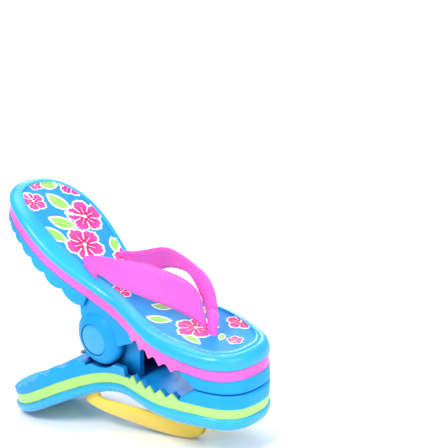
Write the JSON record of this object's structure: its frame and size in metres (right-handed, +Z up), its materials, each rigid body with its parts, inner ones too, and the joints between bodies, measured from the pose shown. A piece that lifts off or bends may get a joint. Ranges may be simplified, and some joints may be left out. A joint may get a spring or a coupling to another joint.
{
  "type": "towel clip",
  "caption": "Spring clip for a beach towel shaped as a pair of thong sandals sole to sole, with toe jaws, toothed throat and ridged heel levers on one pivot",
  "frame": {"origin": "centre of the bounding box's underside, as the clip rests on a table", "axes": "+X toward the toe jaws, +Z up, Y along the pivot pin; the plane where the jaws meet leans toe down by the angle of rest"},
  "size_m": [0.1404, 0.0398, 0.1012],
  "materials": {
    "footbed_blue": "moulded, satin gloss",
    "stripe_pink": "moulded, satin",
    "stripe_lime": "moulded, satin",
    "frame_blue": "moulded, gloss",
    "strap_pink": "soft ribbed vinyl",
    "strap_yellow": "soft ribbed vinyl",
    "cap_blue": "moulded, gloss",
    "pin_steel": "zinc plated",
    "spring_steel": "drawn music wire",
    "screw_steel": "zinc plated"
  },
  "bodies": {
    "lower_half": {"lower_footbed": "footbed_blue", "lower_stripe_band": "stripe_lime", "lower_sole_frame": "frame_blue", "lower_screws": "screw_steel", "lower_hub_cap": "cap_blue", "lower_strap": "strap_yellow", "pivot_pin": "pin_steel", "pin_retainer": "pin_steel"},
    "upper_half": {"upper_footbed": "footbed_blue", "upper_stripe_band": "stripe_pink", "upper_sole_frame": "frame_blue", "upper_screws": "screw_steel", "upper_hub_cap": "cap_blue", "upper_strap": "strap_pink", "torsion_spring": "spring_steel"}
  },
  "joints": [
    {"name": "jaw_pivot", "type": "hinge", "parent": "lower_half", "child": "upper_half", "pos_m": [-0.00881, 0, 0.04216], "axis": [0, -1, 0], "range_deg": [0, 32], "stiffness_Nm_per_rad": 0.9, "springref_deg": -31.51, "deforming": ["torsion_spring"]}
  ]
}
